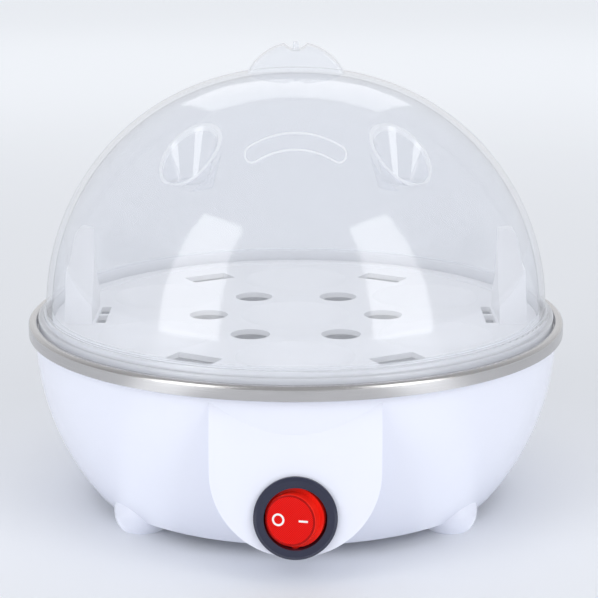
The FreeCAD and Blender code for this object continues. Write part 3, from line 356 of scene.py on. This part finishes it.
def moulded(name, colour, roughness, grain=GRAIN_SCALE, depth=GRAIN_DEPTH, coat=0.0):
    """Moulded plastic: slight tone drift, fine surface grain and uneven gloss."""
    finish = new_finish(name)
    drift = finish.noise(DRIFT_CLOUDS)
    fine = finish.noise(grain, GRAIN_DETAIL)
    least = roughness - (GRAIN_UNEVEN + DRIFT_UNEVEN) / 2
    return finish.done(finish.surface({
        "Base Color": finish.mix(drift, shade(colour, DRIFT_TONE), colour),
        "Roughness": fine * GRAIN_UNEVEN + (drift * DRIFT_UNEVEN + least),
        "Coat Weight": coat,
        "Coat Roughness": COAT_ROUGHNESS,
        "Normal": finish.bump(fine, depth, GRAIN_BUMP),
    }))


def metal(name, colour, roughness, scale=STREAK_SCALE, stretch=STREAK_STRETCH):
    """Drawn or rolled metal: streaks along one direction."""
    finish = new_finish(name)
    streaked = finish.node("Mapping", {}, {"Vector": finish.place(), "Scale": stretch})
    streak = finish.noise(scale, STREAK_DETAIL, streaked)
    return finish.done(finish.surface({
        "Base Color": finish.mix(streak, shade(colour, STREAK_TONE), colour),
        "Metallic": 1.0,
        "Roughness": streak * STREAK_UNEVEN + (roughness - STREAK_UNEVEN / 2),
        "Normal": finish.bump(streak, STREAK_DEPTH, STREAK_BUMP),
    }))


def brushed_steel(name):
    """Stainless steel brushed round the rim: streaks follow the circle."""
    finish = new_finish(name)
    x, y, z = finish.axes()
    radius = span(x, y)
    angle = y.math("ARCTAN2", x)
    brushed = {"X": angle * BRUSH_ROUND, "Y": z * BRUSH_ACROSS, "Z": radius * BRUSH_ACROSS}
    streak = finish.noise(1.0, BRUSH_DETAIL, finish.node("CombineXYZ", {}, brushed))
    smear = finish.noise(BRUSH_SMEARS)
    band_tone = finish.mix(streak, BAND_DARK, BAND_PALE)
    # The well's tone is painted brighter than the band's, as painted light against the shade under the
    # tray
    lit_well_tone = finish.mix(streak, LIT_WELL_DARK, LIT_WELL_PALE)
    return finish.done(finish.surface({
        "Base Color": finish.mix(radius.math("LESS_THAN", WELL_EDGE), band_tone, lit_well_tone),
        "Metallic": 1.0,
        "Roughness": (streak + smear) * BRUSH_UNEVEN + BRUSH_ROUGHNESS,
        "Normal": finish.bump(streak, BRUSH_DEPTH, BRUSH_BUMP),
    }))


def clear_lid(name):
    """Thin translucent plastic: an even white haze, denser in the thick rim and edges, gloss on top."""
    finish = new_finish(name)
    cloud = finish.noise(LID_CLOUDS)
    x, y, z = finish.axes()
    depth = DOME_ARC - span(span(x, y) - DOME_CROWN, z - DOME_SPRING)
    raised = depth.math("LESS_THAN", -BADGE_RELIEF / 4)
    badge = raised * z.math("GREATER_THAN", BADGE_LOW) * z.math("LESS_THAN", BADGE_HIGH)
    from_vent = span(x.math("ABSOLUTE") - VENT_ASIDE, y - VENT_AHEAD)
    mouth = (z - VENT_FLOOR) * VENT_SPREAD + VENT_RADIUS
    lip = (from_vent - mouth).math("ABSOLUTE").math("LESS_THAN", VENT_LIP)
    vent = lip * depth.math("LESS_THAN", VENT_LIP) * z.math("GREATER_THAN", VENT_FLOOR)
    rim = 1.0 - ((z - RIM_HAZE_TOP) / RIM_HAZE_FADE).math("MAXIMUM", 0.0).math("MINIMUM", 1.0)
    edge = finish.node("LayerWeight", {}, {"Blend": EDGE_BLEND}, output="Facing")
    density = edge * EDGE_HAZE + (cloud * CLOUD_HAZE + (rim * RIM_HAZE + LID_HAZE))
    clear = finish.node("BsdfTransparent", {}, {"Color": opaque(LID_CLEAR)})
    front = finish.node("BsdfDiffuse", {}, {"Color": opaque(LID_MILK)})
    through = finish.node("BsdfTranslucent", {}, {"Color": opaque(LID_MILK)})
    wall = finish.blend(density, clear, finish.blend(HAZE_THROUGH, front, through))
    whitened = finish.blend(badge * BADGE_WHITE + vent * VENT_WHITE, wall, front)
    gloss = finish.node("BsdfGlossy", {}, {"Roughness": cloud * LID_UNEVEN + LID_ROUGHNESS})
    outward = 1.0 - finish.node("NewGeometry", output="Backfacing")
    sheen = (finish.node("Fresnel", {}, {"IOR": LID_IOR}) + LID_SHEEN) * outward
    return finish.done(finish.blend(sheen, whitened, gloss))


def red_lens(name):
    """Clear red plastic with a fine square grid moulded in it, square to the rocker's face; its side
    wall is painted brighter and the whole lens glows a little, as painted light passing through the
    plastic.
    """
    finish = new_finish(name)
    to_face = ON_ROCKER.inverted()
    seated = finish.node("Mapping", {"vector_type": "POINT"}, {
        "Vector": finish.place(),
        "Location": to_face.to_translation(),
        "Rotation": to_face.to_euler(),
    })
    x, y, z = finish.axes(seated)
    wave = 2 * math.pi / LENS_GRID
    cell = (x * wave).math("SINE") * (y * wave).math("SINE") * 0.5 + 0.5
    on_face = z.math("GREATER_THAN", ROCKER_FACE - LENS_SKIN)
    inner = span(x, y).math("LESS_THAN", LENS_RADIUS)
    cloud = finish.noise(LENS_CLOUDS)
    face_tone = finish.mix(cell, FACE_DARK, FACE_BRIGHT)
    # Side wall painted brighter red: painted light passing through the plastic
    wall_glow_tone = finish.mix(cloud, WALL_GLOW_DARK, WALL_GLOW_BRIGHT)
    rim_tone = finish.mix(cloud, RIM_DARK, RIM_BRIGHT)
    tone = finish.mix(on_face, wall_glow_tone, finish.mix(inner, rim_tone, face_tone))
    return finish.done(finish.surface({
        "Base Color": tone,
        "Roughness": cloud * LENS_UNEVEN + LENS_ROUGHNESS,
        "Specular IOR Level": LENS_SPECULAR,
        "Coat Weight": LENS_COAT,
        "Coat Roughness": LENS_COAT_ROUGHNESS,
        # Painted glow: the lens shines its own colour, though it is no lamp
        "Emission Color": tone,
        "Emission Strength": LENS_PAINTED_GLOW,
        "Normal": finish.bump(cell * on_face * inner, LENS_DEPTH, LENS_BUMP),
    }))


def printed_white(name):
    """Pad-printed white ink, finely speckled in tone and gloss."""
    finish = new_finish(name)
    speck = finish.noise(INK_SPECKS, INK_DETAIL)
    return finish.done(finish.surface({
        "Base Color": finish.mix(speck, INK_DARK, INK_PALE),
        "Roughness": speck * INK_UNEVEN + INK_ROUGHNESS,
    }))


def paper(name):
    """White paper of the stage, lit up evenly away from the object."""
    finish = new_finish(name)
    place = finish.place()
    distance = finish.node("VectorMath", {"operation": "LENGTH"}, {0: place}, output="Value")
    away = finish.ease(distance, FLOOR_NEAR, FLOOR_FAR)
    x, y, _ = finish.axes(place)
    towards = (x.math("ABSOLUTE") * math.sin(CARD_AZIMUTH) - y * math.cos(CARD_AZIMUTH)) / distance
    card = finish.ease(towards, math.cos(CARD_OUTER), math.cos(CARD_INNER))
    mirrored = finish.node("LightPath", output="Is Glossy Ray")
    glow = away * FLOOR_GLOW + card * mirrored * CARD_GLOW
    return finish.done(finish.surface({
        "Base Color": finish.mix(finish.noise(FLOOR_CLOUDS), PAPER_DARK, PAPER_PALE),
        "Roughness": FLOOR_ROUGHNESS,
        "Emission Color": finish.mix(glow, NO_GLOW, PAPER_GLOW),
        "Emission Strength": 1.0,
    }))


def dress(finish, *nodes):
    for node in nodes:
        slots = frame["nodes"][node].data.materials
        slots.clear()
        slots.append(finish)


def dress_outside():
    dress(clear_lid("lid_plastic"), "lid")
    dress(moulded("base_plastic", colour=(0.84, 0.865, 0.97), roughness=0.24, coat=0.12), "base_shell")
    dress(moulded("tray_plastic", colour=(0.935, 0.935, 0.95), roughness=0.36), "egg_tray")
    dress(moulded("cover_plastic", colour=(0.72, 0.73, 0.76), roughness=0.5,
                  grain=500.0, depth=0.08 * MM),
          "bottom_cover", "cord_gland")
    dress(moulded("seal_silicone", colour=(0.62, 0.62, 0.60), roughness=0.6), "rim_seal")
    dress(moulded("switch_nylon", colour=(0.019, 0.022, 0.050), roughness=0.32,
                  grain=1400.0, depth=0.03 * MM),
          "switch_housing")
    dress(red_lens("rocker_red"), "switch_rocker")


def dress_inside():
    dress(metal("zinc", colour=(0.62, 0.63, 0.66), roughness=0.32),
          "cover_screws", "dish_screws", "dish_standoffs", "heater_pins", "strap_screws")
    dress(metal("tinplate", colour=(0.66, 0.65, 0.63), roughness=0.3),
          "heat_shield", "thermostat_strap", "fuse_clip")
    dress(metal("cast_aluminium", colour=(0.70, 0.70, 0.71), roughness=0.45,
                scale=500.0, stretch=(1.0, 1.0, 1.0)),
          "spreader_plate", "thermostat_cap")
    dress(metal("heater_sheath", colour=(0.30, 0.28, 0.26), roughness=0.5), "heater_tube")
    dress(metal("brass", colour=(0.70, 0.52, 0.20), roughness=0.3),
          "thermostat_blades", "switch_plunger", "contact_lever", "switch_blades", "terminal_screws")
    dress(metal("fuse_case", colour=(0.72, 0.70, 0.64), roughness=0.2), "thermal_fuse")
    dress(moulded("bead_ceramic", colour=(0.80, 0.77, 0.68), roughness=0.7), "heater_beads")
    dress(moulded("phenolic", colour=(0.06, 0.04, 0.03), roughness=0.45), "thermostat_body")
    dress(moulded("glass_sleeve", colour=(0.78, 0.76, 0.70), roughness=0.8,
                  grain=1500.0, depth=0.15 * MM),
          "fuse_sleeve")
    dress(moulded("nylon", colour=(0.80, 0.78, 0.72), roughness=0.4), "terminal_block")
    dress(moulded("lead_brown", colour=(0.18, 0.07, 0.03), roughness=0.5), "lead_live")
    dress(moulded("lead_red", colour=(0.45, 0.03, 0.02), roughness=0.5), "lead_switched")
    dress(moulded("lead_blue", colour=(0.03, 0.10, 0.42), roughness=0.5),
          "lead_neutral", "lead_fuse", "lead_heater")


def rounded(corners):
    """Points of an outline whose corners (radius from the axis, height, rounding) are eased."""
    points = []
    for index, (r, z, rounding) in enumerate(corners):
        corner = Vector((r, 0, z))
        if not rounding:
            points.append(corner)
            continue
        before = Vector((corners[index - 1][0], 0, corners[index - 1][1]))
        after = Vector((corners[index + 1][0], 0, corners[index + 1][1]))
        start = corner + (before - corner).normalized() * rounding
        end = corner + (after - corner).normalized() * rounding
        centre = start + end - corner
        for step in range(ARC_STEPS + 1):
            turn = math.pi / 2 * step / ARC_STEPS
            points.append(centre + (start - centre) * math.cos(turn) + (end - centre) * math.sin(turn))
    return points


def turned(name, corners):
    """Piece turned about the vertical axis: one vertex drawn along the outline in mm, then spun."""
    points = [point * MM for point in rounded(corners)]
    bpy.ops.object.select_all(action="DESELECT")
    bpy.ops.mesh.primitive_plane_add(size=MM)
    piece = bpy.context.object
    piece.name = name
    bpy.ops.object.mode_set(mode="EDIT")
    bpy.ops.mesh.select_all(action="SELECT")
    bpy.ops.mesh.merge(type="CENTER")
    bpy.ops.transform.translate(value=points[0])
    for start, end in zip(points, points[1:]):
        bpy.ops.mesh.extrude_vertices_move(TRANSFORM_OT_translate={"value": end - start})
    bpy.ops.mesh.select_all(action="SELECT")
    bpy.ops.mesh.spin(steps=SPIN_STEPS, angle=2 * math.pi, center=(0, 0, 0), axis=(0, 0, 1))
    bpy.ops.mesh.select_all(action="SELECT")
    bpy.ops.mesh.remove_doubles(threshold=MERGE_WITHIN)
    bpy.ops.mesh.normals_make_consistent(inside=False)
    bpy.ops.object.mode_set(mode="OBJECT")
    bpy.ops.object.shade_smooth_by_angle(angle=SMOOTH_BELOW)
    return piece


def make_dish():
    """Pressed dish with its rolled band, turned finely so that the brushed band shines evenly."""
    dish = turned("brushed_dish", [
        (0.0, WELL_FLOOR, 0),
        (WELL_WALL, WELL_FLOOR, WELL_ROUND),
        (WELL_WALL, DISH_LEDGE, 0),
        (BAND_LIP, DISH_LEDGE, LEDGE_ROUND),
        (BAND_LIP, BAND_TOP, LIP_ROUND),
        (BAND_OUTER, BAND_TOP, BAND_ROUND),
        (BAND_OUTER, BAND_LOW, HEM_ROUND),
        (BAND_HEM, BAND_LOW, 0),
        (BAND_HEM, BAND_LOW + SHEET, 0),
        (BAND_OUTER - SHEET, BAND_LOW + SHEET, 0),
        (BAND_OUTER - SHEET, BAND_TOP - SHEET, BAND_ROUND - SHEET),
        (BAND_LIP + SHEET, BAND_TOP - SHEET, 0),
        (BAND_LIP + SHEET, DISH_LEDGE - SHEET, 0),
        (WELL_WALL + SHEET, DISH_LEDGE - SHEET, 0),
        (WELL_WALL + SHEET, WELL_FLOOR - SHEET, WELL_ROUND + SHEET),
        (0.0, WELL_FLOOR - SHEET, 0),
    ])
    steel = brushed_steel("dish_steel")
    dish.data.materials.append(steel)
    dress(steel, "heating_dish")
    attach(dish, "base")
    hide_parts("heating_dish")


def seat_mark(name, at, ink):
    """Raise the flat mark that is being edited, seat it on the rocker's face and finish it."""
    bpy.ops.mesh.select_all(action="SELECT")
    lift = {"value": (0, 0, MARK_SINK + MARK_PROUD)}
    bpy.ops.mesh.extrude_region_move(TRANSFORM_OT_translate=lift)
    bpy.ops.mesh.select_all(action="SELECT")
    bpy.ops.mesh.normals_make_consistent(inside=False)
    bpy.ops.object.mode_set(mode="OBJECT")
    mark = bpy.context.object
    mark.name = name
    mark.matrix_world = ON_ROCKER @ Matrix.Translation((at, 0, ROCKER_FACE - MARK_SINK))
    bpy.ops.object.transform_apply(location=True, rotation=True, scale=True)
    mark.data.materials.append(ink)
    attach(mark, "rocker")


def make_marks():
    """Ring on the off side and dash on the on side, each drawn flat and then raised."""
    ink = printed_white("mark_ink")
    bpy.ops.object.select_all(action="DESELECT")
    bpy.ops.mesh.primitive_circle_add(vertices=RING_STEPS, radius=RING_OUTER)
    bpy.ops.object.mode_set(mode="EDIT")
    bpy.ops.mesh.select_all(action="SELECT")
    bpy.ops.mesh.extrude_edges_move()
    share = (RING_OUTER - RING_LINE) / RING_OUTER
    bpy.ops.transform.resize(value=(share, share, 1), center_override=(0, 0, 0))
    seat_mark("off_ring", RING_AT, ink)
    bpy.ops.object.select_all(action="DESELECT")
    bpy.ops.mesh.primitive_plane_add(size=1.0)
    bpy.ops.object.mode_set(mode="EDIT")
    bpy.ops.transform.resize(value=(*DASH_SIZE, 1), center_override=(0, 0, 0))
    seat_mark("on_dash", DASH_AT, ink)


def make_camera():
    data = bpy.data.cameras.new("photo_camera")
    data.sensor_width = SENSOR_MM
    data.lens = SENSOR_MM * FOCAL_PX / FRAME_PX
    data.clip_start = CAMERA_NEAR
    camera = bpy.data.objects.new("photo_camera", data)
    bpy.context.scene.collection.objects.link(camera)
    camera.location = CAMERA_AT
    camera.rotation_euler = (math.pi / 2 - CAMERA_DOWN, 0, 0)
    bpy.context.scene.camera = camera


def softbox(name, place, target, size, power, mirrored=True):
    data = bpy.data.lights.new(name, "AREA")
    data.shape = "RECTANGLE"
    data.size, data.size_y = size
    data.energy = power
    lamp = bpy.data.objects.new(name, data)
    bpy.context.scene.collection.objects.link(lamp)
    lamp.visible_glossy = mirrored
    lamp.location = place
    lamp.rotation_euler = (Vector(target) - Vector(place)).to_track_quat("-Z", "Y").to_euler()


def make_floor():
    bpy.ops.object.select_all(action="DESELECT")
    bpy.ops.mesh.primitive_plane_add(size=FLOOR_SIZE)
    floor = bpy.context.object
    floor.name = "studio_floor"
    floor.data.materials.append(paper("floor_paper"))


def make_world():
    """White surround: plain to the camera, even as a light, darker in front where metal mirrors it."""
    world = bpy.data.worlds.new("studio_world")
    bpy.context.scene.world = world
    surround = Finish(world)
    _, behind, _ = surround.axes(surround.node("TexCoord", output="Generated"))
    to_camera = surround.node("LightPath", output="Is Camera Ray")
    to_gloss = surround.node("LightPath", output="Is Glossy Ray")
    mirrored = between(behind.math("MAXIMUM", 0.0), MIRROR_FRONT, MIRROR_BACK)
    lit = between(to_gloss, WORLD_LEVEL, mirrored)
    shown = between(to_camera, lit, BACKDROP_LEVEL)
    light = surround.node("Background", {}, {"Color": opaque(WORLD_TINT), "Strength": shown})
    surround.done(light, "World")


def make_lamps():
    aside, ahead, height = SIDE_AT
    for name, side in (("left_box", -1), ("right_box", 1)):
        softbox(name, (side * aside, ahead, height), (0.0, 0.0, height), SIDE_SIZE, SIDE_POWER)
    softbox("back_box", BACK_AT, COOKER_MIDDLE, BACK_SIZE, BACK_POWER)
    softbox("top_box", TOP_AT, COOKER_MIDDLE, TOP_SIZE, TOP_POWER, mirrored=False)


def main():
    bpy.context.scene.view_settings.view_transform = "Standard"
    dress_outside()
    dress_inside()
    make_dish()
    make_marks()
    make_camera()
    make_floor()
    make_world()
    make_lamps()


main()
